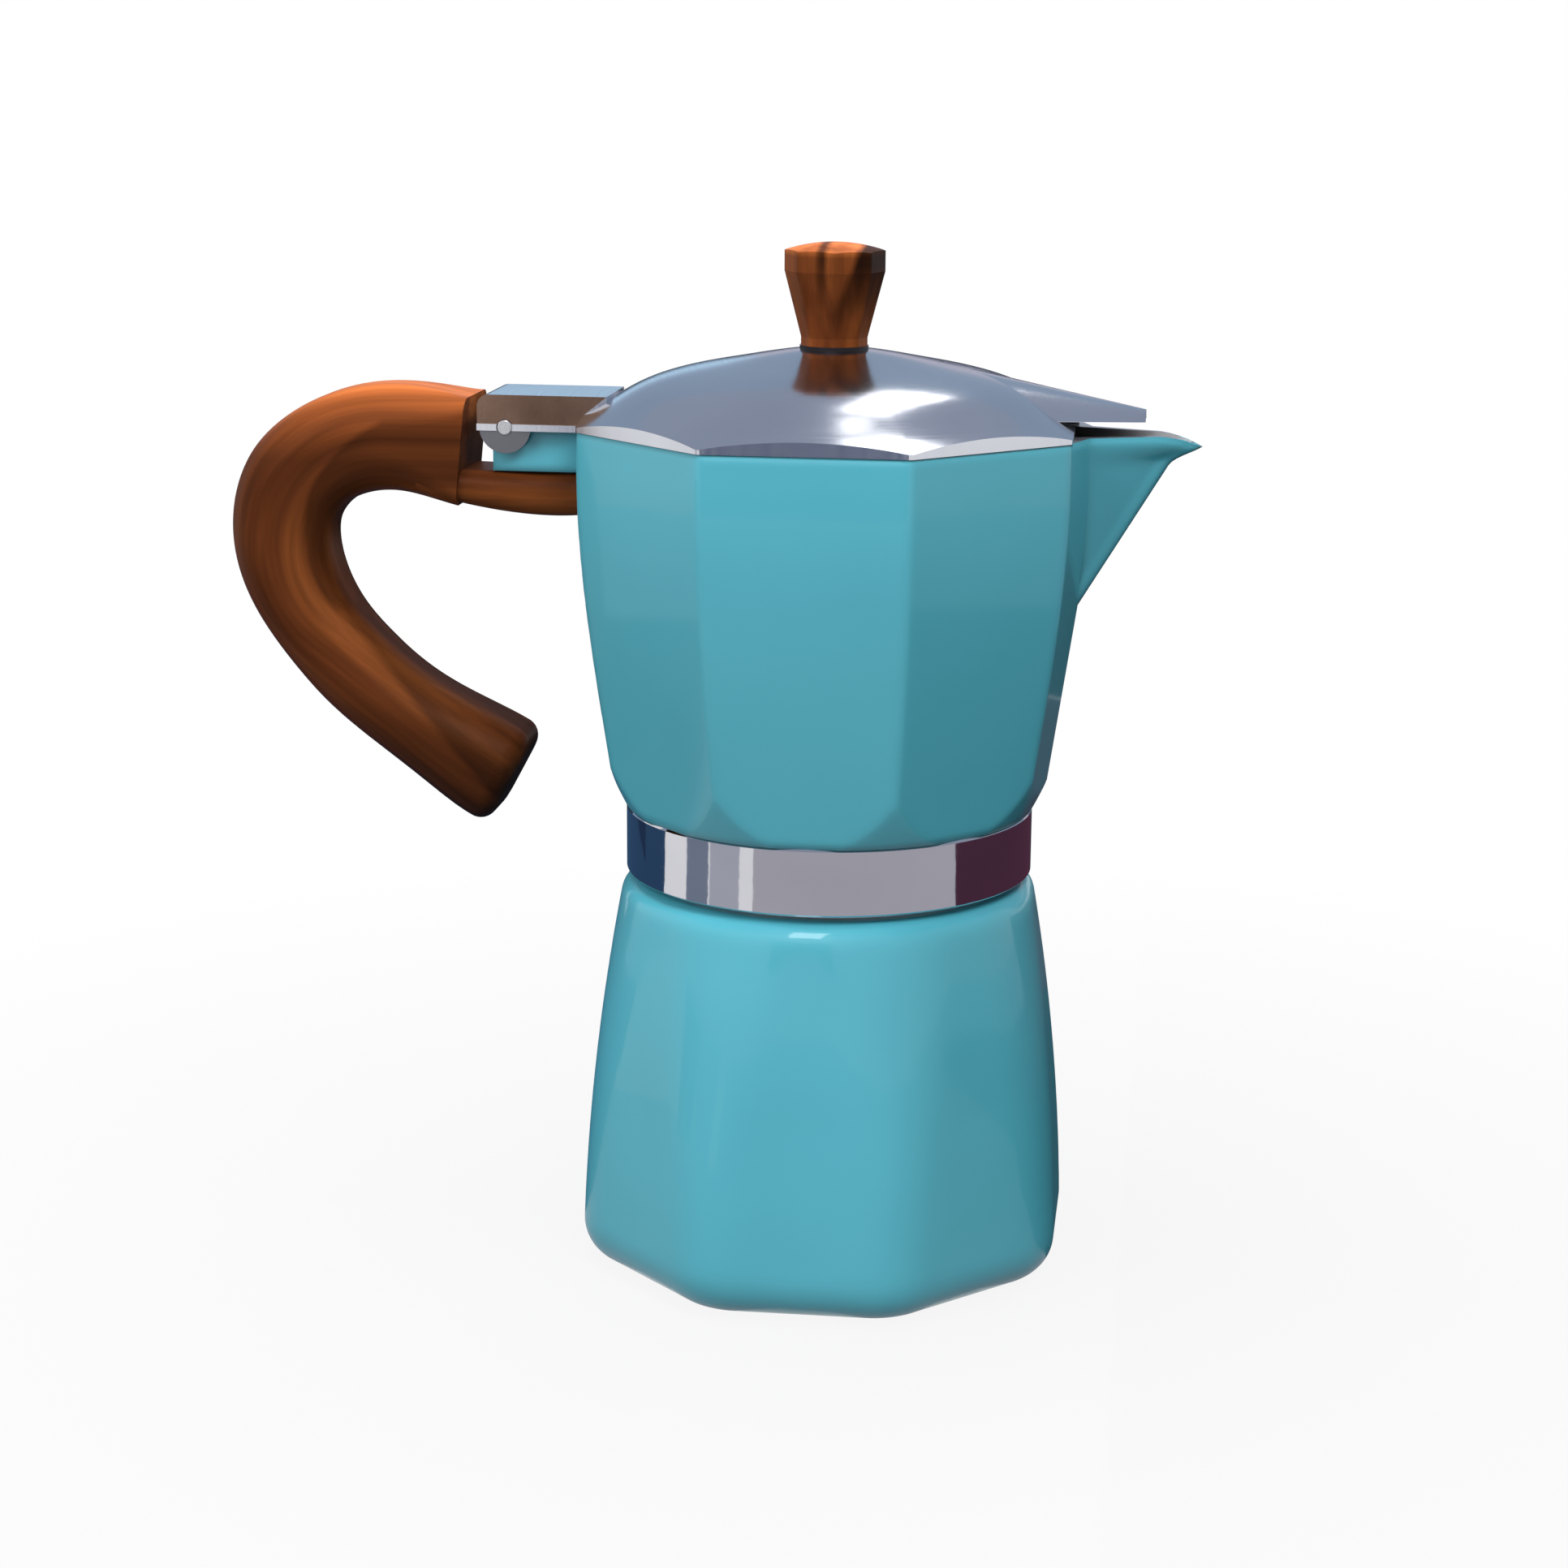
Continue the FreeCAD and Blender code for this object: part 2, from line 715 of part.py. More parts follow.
def upper_chamber():
    shell = Part.makeLoft([octagon(flats, level, edge_round) for flats, level in chamber_sections(0)], True)
    shell = shell.fuse(chamber_keel()).common(chamber_bowl())
    above = block((-clear, -rim_reach, rim), (lip_tip_reach + clear, rim_reach, rim + clear))
    spout = spout_solid(0).cut(above).cut(spout_top_cut())
    shell = shell.fuse(spout).fuse(chamber_lug())
    inside_stages = chamber_sections(chamber_wall)
    cavity = Part.makeLoft([octagon(flats, level, edge_round) for flats, level in inside_stages], True)
    below = block((-rim_flats, -rim_flats, band_top - clear), (rim_flats, rim_flats, floor_top))
    shell = shell.cut(cavity.cut(below)).cut(spout_solid(spout_wall).cut(below))
    shell = shell.fuse(tube(skirt_outer, skirt_inner, skirt_foot, band_top + overlap))
    shell = shell.fuse(Part.makeCylinder(boss_radius, boss_height + overlap, V(0, 0, floor_top - overlap)))
    pin_hole = hinge_bar(hinge_pin_radius + press_gap, lug_half + overlap)
    place = V(-handle_screw_reach, 0, lug_foot)
    screw_hole = Part.makeCylinder(screw_radius + screw_gap, handle_screw_bite + screw_end_gap, place)
    return shell.cut(chamber_underside()).cut(pin_hole).cut(screw_hole).removeSplitter()


def coffee_column():
    spigot_foot = boss_top - column_spigot_length
    outer = turned(
        [
            (0, spigot_foot),
            (column_spigot_radius, spigot_foot),
            (column_spigot_radius, boss_top),
            (column_foot_radius, boss_top),
            (column_top_radius, column_top - column_top_bevel),
            (column_top_radius - column_top_bevel, column_top),
            (0, column_top),
        ]
    )
    bore_top = column_top - column_cap
    bore = Part.makeCylinder(column_bore_radius, bore_top - spigot_foot, V(0, 0, spigot_foot))
    outlet = block(
        (-outlet_width / 2, -2 * column_foot_radius, bore_top - outlet_height),
        (outlet_width / 2, 2 * column_foot_radius, bore_top),
    )
    return outer.cut(bore).cut(outlet)


def hinge_pin():
    pin = hinge_bar(hinge_pin_radius, bracket_outer + pin_end_proud)
    return pin.makeFillet(pin_end_round, [edge for edge in pin.Edges if edge.isClosed()])


def dome(drop):
    """Round dome of the lid, lowered by drop, as a solid down to below the rim."""
    flat = rim_reach + lid_overhang
    edge = flat / math.cos(HALF_STEP) + overlap
    level = rim - drop
    points = [
        V(0, 0, level + lid_apex_rise),
        V(rim_reach - lid_middle_inset, 0, level + lid_middle_rise),
        V(rim_reach - lid_slope_inset, 0, level + lid_slope_rise),
        V(flat, 0, level + lid_flat_rise),
        V(edge, 0, level + lid_corner_rise),
    ]
    curve = Part.BSplineCurve()
    curve.interpolate(Points=points, InitialTangent=V(1, 0, 0), FinalTangent=V(1, 0, -lid_corner_slope))
    corners = [points[-1], V(edge, 0, rim - clear), V(0, 0, rim - clear), points[0]]
    edges = [curve.toShape()]
    for here, after in zip(corners, corners[1:]):
        edges.append(Part.LineSegment(here, after).toShape())
    return Part.Face(Part.Wire(edges)).revolve(V(0, 0, 0), V(0, 0, 1), 360)


def octagon_prism(flats, low, high):
    return Part.Face(octagon(flats, low, edge_round)).extrude(V(0, 0, high - low))


def hood_solid(inset, depth, end):
    """Shallow roof over the spout out to end, drawn in by inset, with sides that go down by depth."""
    wires = []
    for reach in (hood_start, end):
        share = (reach - rim_reach) / (hood_reach - rim_reach)
        half = hood_root_half + (hood_tip_half - hood_root_half) * share - inset
        low = rim + hood_root_rise + (hood_tip_rise - hood_root_rise) * share
        crown = hood_root_crown + (hood_tip_crown - hood_root_crown) * share - inset
        left = V(reach, -half, low)
        right = V(reach, half, low)
        left_foot = V(reach, -half, low - depth)
        right_foot = V(reach, half, low - depth)
        edges = [
            Part.LineSegment(left_foot, left).toShape(),
            Part.Arc(left, V(reach, 0, low + crown), right).toShape(),
            Part.LineSegment(right, right_foot).toShape(),
            Part.LineSegment(right_foot, left_foot).toShape(),
        ]
        wires.append(Part.Wire(edges))
    return Part.makeLoft(wires, True, True)


def lid_bracket():
    """Hinge channel behind the lid: a top plate on two walls with round ears for the pin."""
    top = hinge_level + bracket_rise
    foot = hinge_level - ledge_height / 2
    tail = -hinge_reach - bracket_tail
    front = -rim_reach + bracket_lap
    back_of_rim = -rim_reach - bracket_rim_gap
    channel = block((tail, -bracket_outer, foot), (front, bracket_outer, top))
    tail_edges = [
        edge
        for edge in channel.Edges
        if edge.BoundBox.XMax < tail + near and edge.BoundBox.ZMin > top - near
    ]
    channel = channel.makeFillet(bracket_corner, tail_edges)
    hollow_front = -hinge_reach + bracket_root
    hollow = block(
        (tail - overlap, -bracket_inner, foot - overlap), (hollow_front, bracket_inner, top - bracket_plate)
    )
    over_lug = block(
        (hollow_front - overlap, -bracket_inner, foot - overlap),
        (front + overlap, bracket_inner, lug_top + bracket_lug_gap),
    )
    inside_rim = block(
        (back_of_rim, -bracket_outer - overlap, foot - overlap),
        (front + overlap, bracket_outer + overlap, rim),
    )
    channel = channel.cut(hollow).cut(over_lug).cut(inside_rim)
    ears = hinge_bar(ear_radius, bracket_outer).cut(hinge_bar(ear_radius, bracket_inner))
    reach = bracket_outer + ledge_proud
    ledges = block((tail, -reach, foot), (back_of_rim, reach, foot + ledge_height))
    between = block((tail, -bracket_inner, foot), (back_of_rim, bracket_inner, foot + ledge_height))
    pin_hole = hinge_bar(hinge_pin_radius + hinge_running_gap, reach + overlap)
    return channel.fuse(ears).fuse(ledges.cut(between)).cut(pin_hole)


def lid_lip():
    """Rim inside the lid that drops into the jug, open where the spout is."""
    outer = jug_inside_flats - 2 * lid_lip_gap
    inner = outer - 2 * lid_lip_wall
    root = rim + lid_lip_root
    shoulder = octagon_prism(jug_inside_flats + 2 * overlap, rim + lid_lip_shoulder, root)
    lip = octagon_prism(outer, rim - lid_lip_depth, root).fuse(shoulder)
    lip = lip.cut(octagon_prism(inner, rim - clear, rim + clear)).common(dome(lid_wall / 2))
    side = hood_root_half + lid_lip_mouth_side
    mouth = block(
        (rim_reach - lid_lip_mouth_back, -side, rim - clear), (hood_reach + clear, side, rim + hood_tip_rise)
    )
    return lip.cut(mouth)


def lid():
    flats = rim_flats + 2 * lid_overhang
    body = dome(0).common(octagon_prism(flats, rim, rim + clear))
    body = body.fuse(hood_solid(0, hood_edge, hood_reach)).fuse(lid_bracket())
    body = body.cut(dome(lid_wall).common(octagon_prism(jug_inside_flats, rim - overlap, rim + clear)))
    side = hood_root_half - hood_mouth_side
    mouth = block(
        (rim_reach - hood_mouth_back, -side, rim - overlap), (hood_reach + clear, side, rim + hood_tip_rise)
    )
    body = body.cut(mouth).cut(hood_solid(hood_wall, 2 * hood_wall, hood_reach + overlap))
    boss = Part.makeCylinder(knob_pad_radius, pad_top - knob_boss_foot, V(0, 0, knob_boss_foot))
    hole = Part.makeCylinder(screw_radius + screw_gap, 2 * clear, V(0, 0, rim - clear))
    return body.fuse(lid_lip()).fuse(boss).cut(hole).removeSplitter()


def lid_knob():
    foot = pad_top
    stages = [
        (knob_foot_flats, 0),
        (knob_foot_flats, knob_waist_rise),
        (knob_top_flats, knob_shoulder_rise),
        (knob_top_flats, knob_height),
    ]
    body = Part.makeLoft([octagon(flats, foot + rise, knob_corner) for flats, rise in stages], True, True)
    reach = knob_top_flats / 2 / math.cos(HALF_STEP)
    ball_radius = (reach**2 + knob_dome_rise**2) / (2 * knob_dome_rise)
    ball = Part.makeSphere(ball_radius, V(0, 0, foot + knob_height - ball_radius))
    body = body.common(ball)
    body.rotate(V(0, 0, 0), V(0, 0, 1), knob_turn)
    socket = Part.makeCylinder(insert_radius + press_gap, insert_length, V(0, 0, foot))
    return body.cut(socket).removeSplitter()


def knob_insert():
    bush = Part.makeCylinder(insert_radius, insert_length - insert_end_gap, V(0, 0, pad_top))
    depth = knob_screw_bite + screw_end_gap
    return bush.cut(Part.makeCylinder(screw_radius + screw_gap, depth, V(0, 0, pad_top)))


def slotted_screw(x, level, grip):
    """Round-head screw that points up, head below level, shank of length grip."""
    foot = level - screw_head_height
    head = Part.makeCylinder(screw_head_radius, screw_head_height, V(x, 0, foot))
    rim_edges = [edge for edge in head.Edges if edge.isClosed() and edge.BoundBox.ZMax < foot + near]
    head = head.makeFillet(screw_head_round, rim_edges)
    half = screw_slot_width / 2
    slot = block(
        (x - screw_head_radius, -half, foot - overlap),
        (x + screw_head_radius, half, foot + screw_slot_depth),
    )
    return head.cut(slot).fuse(Part.makeCylinder(screw_radius, grip, V(x, 0, level))).removeSplitter()


def flat_washer(x, level):
    """Washer under a screw's head, with its upper face at level."""
    foot = level - washer_thickness
    ring = Part.makeCylinder(screw_head_radius, washer_thickness, V(x, 0, foot))
    length = washer_thickness + 2 * overlap
    return ring.cut(Part.makeCylinder(screw_radius + screw_gap, length, V(x, 0, foot - overlap)))


def knob_washer():
    return flat_washer(0, knob_boss_foot)


def knob_screw():
    level = knob_boss_foot - washer_thickness
    return slotted_screw(0, level, pad_top - level + knob_screw_bite)


def rounded_section(centre, along, thickness, width, corner):
    """Rounded rectangle square to the handle's line, width along Y."""
    across = V(-along.z, 0, along.x)
    side = V(0, 1, 0)
    half_t = thickness / 2
    half_w = width / 2
    slant = corner * (1 - math.sqrt(0.5))

    def spot(w, t):
        return centre + side * w + across * t

    edges = []
    for sign_w, sign_t in ((1, 1), (-1, 1), (-1, -1), (1, -1)):
        w = sign_w * half_w
        t = sign_t * half_t
        if sign_w == sign_t:
            begin, end = (w, t - sign_t * corner), (w - sign_w * corner, t)
            after = (-w + sign_w * corner, t)
        else:
            begin, end = (w - sign_w * corner, t), (w, t - sign_t * corner)
            after = (w, -t + sign_t * corner)
        middle = (w - sign_w * slant, t - sign_t * slant)
        edges.append(Part.Arc(spot(*begin), spot(*middle), spot(*end)).toShape())
        edges.append(Part.LineSegment(spot(*end), spot(*after)).toShape())
    return Part.Wire(edges)


def handle_grip():
    """Curved grip from the front face, over the top and down to the open lower end."""
    centres = [V(-handle_face - back, 0, lug_top + rise) for back, rise, thickness, corner in grip_stations]
    line = Part.BSplineCurve()
    first = V(grip_start_heading[0], 0, grip_start_heading[1])
    last = V(grip_end_heading[0], 0, grip_end_heading[1])
    line.interpolate(Points=centres, InitialTangent=first, FinalTangent=last)
    wires = []
    for centre, (back, rise, thickness, corner) in zip(centres, grip_stations):
        along = line.tangent(line.parameter(centre))[0]
        along.normalize()
        wires.append(rounded_section(centre, along, thickness, handle_width, corner))
    grip = Part.makeLoft(wires, True)
    flat_ends = [face for face in grip.Faces if face.Surface.TypeId == "Part::GeomPlane"]
    lower_end = min(flat_ends, key=lambda face: face.CenterOfMass.z)
    return grip.makeFillet(handle_end_round, lower_end.Edges)


def handle_shelf():
    """Tongue of the handle under the lug, out to the chamber wall."""
    stations = []
    for ahead, rise in shelf_stations:
        width = shelf_width if ahead > 0 else handle_width - shelf_inset
        stations.append((ahead - handle_face, shelf_foot + rise, width))
    stations.append((-rim_reach - shelf_wall_gap, shelf_foot, shelf_width))
    wires = []
    for x, low, width in stations:
        height = shelf_top - low
        corner = min(shelf_corner, 0.45 * height)
        wires.append(rounded_section(V(x, 0, low + height / 2), V(1, 0, 0), height, width, corner))
    return Part.makeLoft(wires, True)


def handle():
    foot = V(-handle_screw_reach, 0, shelf_foot - overlap)
    hole = Part.makeCylinder(screw_radius + screw_gap, shelf_height + 2 * overlap, foot)
    pocket = Part.makeCylinder(screw_head_radius + head_pocket_gap, head_pocket_depth + overlap, foot)
    return handle_grip().fuse(handle_shelf()).cut(hole).cut(pocket).removeSplitter()


def handle_washer():
    return flat_washer(-handle_screw_reach, handle_screw_level)


def handle_screw():
    level = handle_screw_level - washer_thickness
    return slotted_screw(-handle_screw_reach, level, lug_foot - level + handle_screw_bite)


pieces = {
    "boiler_body": boiler_body,
    "valve_body": valve_body,
    "valve_washer": valve_washer,
    "valve_plunger": valve_plunger,
    "valve_spring": valve_spring,
    "valve_retainer": valve_retainer,
    "funnel_cup": funnel_cup,
    "funnel_stem": funnel_stem,
    "funnel_screen": funnel_screen,
    "gasket": gasket,
    "filter_plate": filter_plate,
    "waist_band": waist_band,
    "upper_chamber": upper_chamber,
    "coffee_column": coffee_column,
    "hinge_pin": hinge_pin,
    "lid": lid,
    "lid_knob": lid_knob,
    "knob_insert": knob_insert,
    "knob_washer": knob_washer,
    "knob_screw": knob_screw,
    "handle": handle,
    "handle_washer": handle_washer,
    "handle_screw": handle_screw,
}

os.makedirs("parts", exist_ok=True)
for name, build in pieces.items():
    shape = build()
    shape.exportStep("parts/" + name + ".step")
    print(name, "solids", len(shape.Solids), "valid", shape.isValid(), "volume", round(shape.Volume, 1))
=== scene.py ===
import math
import bmesh
import bpy
from mathutils import Matrix, Vector


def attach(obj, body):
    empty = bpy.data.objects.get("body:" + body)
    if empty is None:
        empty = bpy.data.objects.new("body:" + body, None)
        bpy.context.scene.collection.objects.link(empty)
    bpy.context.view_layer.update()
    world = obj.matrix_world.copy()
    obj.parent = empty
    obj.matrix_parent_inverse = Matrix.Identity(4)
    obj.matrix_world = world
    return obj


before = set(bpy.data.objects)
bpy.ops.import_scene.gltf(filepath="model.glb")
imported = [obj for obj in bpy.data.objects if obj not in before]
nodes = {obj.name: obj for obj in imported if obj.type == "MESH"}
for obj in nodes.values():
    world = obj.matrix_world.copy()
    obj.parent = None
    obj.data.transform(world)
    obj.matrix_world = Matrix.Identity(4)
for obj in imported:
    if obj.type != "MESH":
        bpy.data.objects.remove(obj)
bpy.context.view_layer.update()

# Boiler body: the water vessel, cast in aluminium. Eight soft sides at the foot turn round towards the neck.
# The outside is sprayed and baked in a turquoise gloss enamel. Inside, neck and underside stay bare.
BOILER_EDGE_ROUNDING = 0.006
NECK_RADIUS = 0.0358
SHOULDER_LEVEL = 0.078
BOILER_FLOOR_LEVEL = 0.02
INWARD_SHARE = -0.3
FLOOR_NORMAL_UP = 0.7
UNDERSIDE_NORMAL_UP = -0.95


def material_tree(name):
    """New material with its tree, its shader and the place on the piece in metres."""
    material = bpy.data.materials.new(name)
    material.use_nodes = True
    tree = material.node_tree
    place = tree.nodes.new("ShaderNodeTexCoord")
    return material, tree, tree.nodes["Principled BSDF"], place.outputs["Object"]


def noise_on(tree, place, scale, detail=3.0, stretch=(1, 1, 1)):
    """Noise with so many cells in a metre, stretched along the axes."""
    mapping = tree.nodes.new("ShaderNodeMapping")
    mapping.inputs["Scale"].default_value = stretch
    tree.links.new(place, mapping.inputs["Vector"])
    noise = tree.nodes.new("ShaderNodeTexNoise")
    noise.inputs["Scale"].default_value = scale
    noise.inputs["Detail"].default_value = detail
    tree.links.new(mapping.outputs["Vector"], noise.inputs["Vector"])
    return noise.outputs["Fac"]


def ramp_on(tree, factor, stops):
    """Colour from a factor, with (position, colour) stops."""
    ramp = tree.nodes.new("ShaderNodeValToRGB")
    for position, colour in stops[1:-1]:
        ramp.color_ramp.elements.new(position)
    for element, (position, colour) in zip(ramp.color_ramp.elements, stops):
        element.position = position
        element.color = (*colour, 1)
    tree.links.new(factor, ramp.inputs["Fac"])
    return ramp.outputs["Color"]


def range_on(tree, value, low, high, start=0.0, end=1.0):
    """Value between start and end turned into one between low and high."""
    reach = tree.nodes.new("ShaderNodeMapRange")
    for socket, number in zip(("From Min", "From Max", "To Min", "To Max"), (start, end, low, high)):
        reach.inputs[socket].default_value = number
    tree.links.new(value, reach.inputs["Value"])
    return reach.outputs["Result"]


def bump_on(tree, shader, height, distance, strength, rounding=0.0):
    """Small relief, its depth in metres, over edges that look rounded by so much."""
    bump = tree.nodes.new("ShaderNodeBump")
    if rounding:
        soft = tree.nodes.new("ShaderNodeBevel")
        soft.samples = 8
        soft.inputs["Radius"].default_value = rounding
        tree.links.new(soft.outputs["Normal"], bump.inputs["Normal"])
    bump.inputs["Distance"].default_value = distance
    bump.inputs["Strength"].default_value = strength
    tree.links.new(height, bump.inputs["Height"])
    tree.links.new(bump.outputs["Normal"], shader.inputs["Normal"])


def two_tones_on(tree, shader, place, clouds, dark, bright):
    """Base colour that drifts between two tones, with so many clouds in a metre."""
    colour = ramp_on(tree, noise_on(tree, place, clouds), [(0.3, dark), (0.7, bright)])
    tree.links.new(colour, shader.inputs["Base Color"])


def uneven_gloss_on(tree, shader, place, clouds, smooth, rough):
    """Roughness that drifts between two values, with so many clouds in a metre."""
    roughness = range_on(tree, noise_on(tree, place, clouds), smooth, rough)
    tree.links.new(roughness, shader.inputs["Roughness"])


def gloss_enamel(name, rounding):
    """Turquoise enamel with a clear gloss on top and a faint orange peel, thicker over the edges."""
    material, tree, shader, place = material_tree(name)
    two_tones_on(tree, shader, place, 14, (0.054, 0.300, 0.378), (0.064, 0.332, 0.415))
    uneven_gloss_on(tree, shader, place, 60, 0.34, 0.42)
    shader.inputs["Specular IOR Level"].default_value = 0.25
    shader.inputs["Coat Weight"].default_value = 0.5
    shader.inputs["Coat Roughness"].default_value = 0.07
    bump_on(tree, shader, noise_on(tree, place, 420, 2), 0.00003, 0.3, rounding)
    return material


def bare_metal(name, dark, bright, smooth, rough, grain):
    """Bare metal in two tones with uneven gloss and a fine grain."""
    material, tree, shader, place = material_tree(name)
    shader.inputs["Metallic"].default_value = 1.0
    two_tones_on(tree, shader, place, 60, dark, bright)
    uneven_gloss_on(tree, shader, place, 260, smooth, rough)
    bump_on(tree, shader, noise_on(tree, place, grain, 2), 0.00004, 0.35)
    return material


def dress(node, *finishes, pick=None):
    """Gives a solid its finish, or several where pick tells a face's finish from its middle and normal."""
    mesh = nodes[node].data
    mesh.materials.clear()
    for finish in finishes:
        mesh.materials.append(finish)
    picks = [int(pick(face.center, face.normal)) if pick else 0 for face in mesh.polygons]
    mesh.polygons.foreach_set("material_index", picks)


def looks_inward(middle, normal):
    """Whether a face looks towards the pot's upright axis."""
    return normal.x * middle.x + normal.y * middle.y < INWARD_SHARE * math.hypot(middle.x, middle.y)


def boiler_is_bare(middle, normal):
    """Faces of the cavity, the neck and the underside."""
    neck = middle.z > SHOULDER_LEVEL and math.hypot(middle.x, middle.y) < NECK_RADIUS
    floor = normal.z > FLOOR_NORMAL_UP and middle.z < BOILER_FLOOR_LEVEL
    return looks_inward(middle, normal) or neck or floor or normal.z < UNDERSIDE_NORMAL_UP


boiler_enamel = gloss_enamel("boiler_enamel", BOILER_EDGE_ROUNDING)
aluminium = bare_metal("cast_aluminium", (0.50, 0.50, 0.52), (0.62, 0.62, 0.64), 0.30, 0.46, 900)
dress("boiler_body", boiler_enamel, aluminium, pick=boiler_is_bare)

# Neck thread: nearly two turns of a cut thread on the boiler's neck, bare like the neck. The jug's skirt
# runs over it and hides it while the pot is closed.
THREAD_CORE = 0.0352
THREAD_CREST = 0.0361
THREAD_PITCH = 0.003
THREAD_FOOT = 0.0808
THREAD_TURNS = 1.7
THREAD_RUN_OUT_TURNS = 0.25
THREAD_STEPS_PER_TURN = 120
THREAD_SUNK_IN_NECK = 0.0004
THREAD_HALF_ROOT = 0.0011
THREAD_HALF_CREST = 0.0002


def neck_thread():
    """Ridge wound up the neck, its depth running out at both ends."""
    shape = bmesh.new()
    rings = []
    root = THREAD_CORE - THREAD_SUNK_IN_NECK
    for step in range(int(THREAD_TURNS * THREAD_STEPS_PER_TURN) + 1):
        turn = step / THREAD_STEPS_PER_TURN
        angle = 2 * math.pi * turn
        depth = min(1.0, turn / THREAD_RUN_OUT_TURNS, (THREAD_TURNS - turn) / THREAD_RUN_OUT_TURNS)
        crest = THREAD_CORE + (THREAD_CREST - THREAD_CORE) * depth
        level = THREAD_FOOT + THREAD_PITCH * turn
        profile = (
            (root, level - THREAD_HALF_ROOT),
            (crest, level - THREAD_HALF_CREST),
            (crest, level + THREAD_HALF_CREST),
            (root, level + THREAD_HALF_ROOT),
        )
        rings.append([shape.verts.new((r * math.cos(angle), r * math.sin(angle), z)) for r, z in profile])
    corners = len(rings[0])
    for low, high in zip(rings, rings[1:]):
        for k in range(corners):
            after = (k + 1) % corners
            shape.faces.new((low[k], high[k], high[after], low[after]))
    shape.faces.new(rings[0])
    shape.faces.new(rings[-1][::-1])
    bmesh.ops.recalc_face_normals(shape, faces=shape.faces)
    mesh = bpy.data.meshes.new("neck_thread")
    shape.to_mesh(mesh)
    shape.free()
    mesh.materials.append(aluminium)
    thread = bpy.data.objects.new("neck_thread", mesh)
    bpy.context.scene.collection.objects.link(thread)
    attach(thread, "boiler")


neck_thread()

# Safety valve: a turned brass plug screwed through the boiler's wall on a pale sealing washer. A plunger on a
# steel spring lifts inside it, and a crimped retainer keeps the spring in.


def seal_rubber():
    """Matt off-white rubber with a fine skin."""
    material, tree, shader, place = material_tree("seal_rubber")
    two_tones_on(tree, shader, place, 70, (0.64, 0.62, 0.56), (0.76, 0.74, 0.69))
    uneven_gloss_on(tree, shader, place, 300, 0.55, 0.72)
    bump_on(tree, shader, noise_on(tree, place, 1200, 2), 0.00004, 0.4)
    return material


brass = bare_metal("turned_brass", (0.56, 0.36, 0.12), (0.74, 0.51, 0.19), 0.18, 0.34, 700)
steel = bare_metal("bright_steel", (0.50, 0.50, 0.51), (0.62, 0.62, 0.63), 0.14, 0.28, 1200)
rubber = seal_rubber()
for part in ("valve_body", "valve_plunger", "valve_retainer"):
    dress(part, brass)
dress("valve_washer", rubber)
dress("valve_spring", steel)

# Funnel, screen and filter plate: spun and punched from thin aluminium. They hold the ground coffee between
# them and lift out by hand. The gasket is a pale rubber ring pressed under the jug.
for part in ("funnel_cup", "funnel_stem", "funnel_screen", "filter_plate"):
    dress(part, aluminium)
dress("gasket", rubber)

# Waist band: a metal ring polished to a mirror and pressed over the jug's threaded skirt. It covers the joint
# between boiler and jug, and shows the room around it.
mirror = bare_metal("mirror_metal", (0.58, 0.58, 0.62), (0.62, 0.62, 0.66), 0.035, 0.07, 300)
dress("waist_band", mirror)

# Jug: the upper chamber, cast with its folded spout and the lug for handle and lid. Enamelled like the boiler
# on the outside. The inside is bare, and so is the rim, which is ground flat after spraying.
JUG_EDGE_ROUNDING = 0.003
JUG_RIM_LEVEL = 0.1655
JUG_FLOOR_RADIUS = 0.042
SKIRT_LEVEL = 0.0915
LUG_FRONT = -0.047
SPOUT_START = 0.036
SPOUT_HALF_WIDTH = 0.02
SPOUT_BACK_SHARE = -0.4
SPOUT_INWARD_SHARE = -0.15
RIM_NORMAL_UP = 0.8


def jug_is_bare(middle, normal):
    """Faces of the inside, the rim and the threaded skirt."""
    if middle.x < LUG_FRONT:
        return False
    level = normal.z > RIM_NORMAL_UP
    inward = looks_inward(middle, normal)
    if middle.x > SPOUT_START and abs(middle.y) < SPOUT_HALF_WIDTH and not level:
        towards_middle = normal.y * middle.y < SPOUT_INWARD_SHARE * abs(middle.y)
        inward = normal.x < SPOUT_BACK_SHARE or towards_middle
    floor = math.hypot(middle.x, middle.y) < JUG_FLOOR_RADIUS
    rim_or_floor = level and (middle.z > JUG_RIM_LEVEL or floor)
    return inward or rim_or_floor or middle.z < SKIRT_LEVEL


dress("upper_chamber", gloss_enamel("jug_enamel", JUG_EDGE_ROUNDING), aluminium, pick=jug_is_bare)

# Coffee column: a drawn aluminium tube pressed into the jug's floor. The coffee rises in it and leaves by two
# slots near its closed top.
dress("coffee_column", aluminium)

# Lid: pressed from sheet and polished, a low dome on eight flats with a hood over the spout and a channel
# bracket behind. It swings on the steel pin through the lug.
RINGS_PER_METRE = 1600
PAD_LEVEL = 0.1795
STEP_RADIUS = 0.012
STEP_NORMAL_UP = 0.7
BRACKET_SIDE = 0.0094
EAR_SIDE = 0.0099
SIDE_NORMAL_ACROSS = 0.9
LEDGE_LEVEL = JUG_RIM_LEVEL
BELOW_NORMAL_UP = -0.3
POLISHED, SHADED_FINISH, HANDLE_REFLECTION, KNOB_FOOT_SHADOW = range(4)


def length_on(tree, vector):
    """Length of a vector."""
    length = tree.nodes.new("ShaderNodeVectorMath")
    length.operation = "LENGTH"
    tree.links.new(vector, length.inputs[0])
    return length.outputs["Value"]


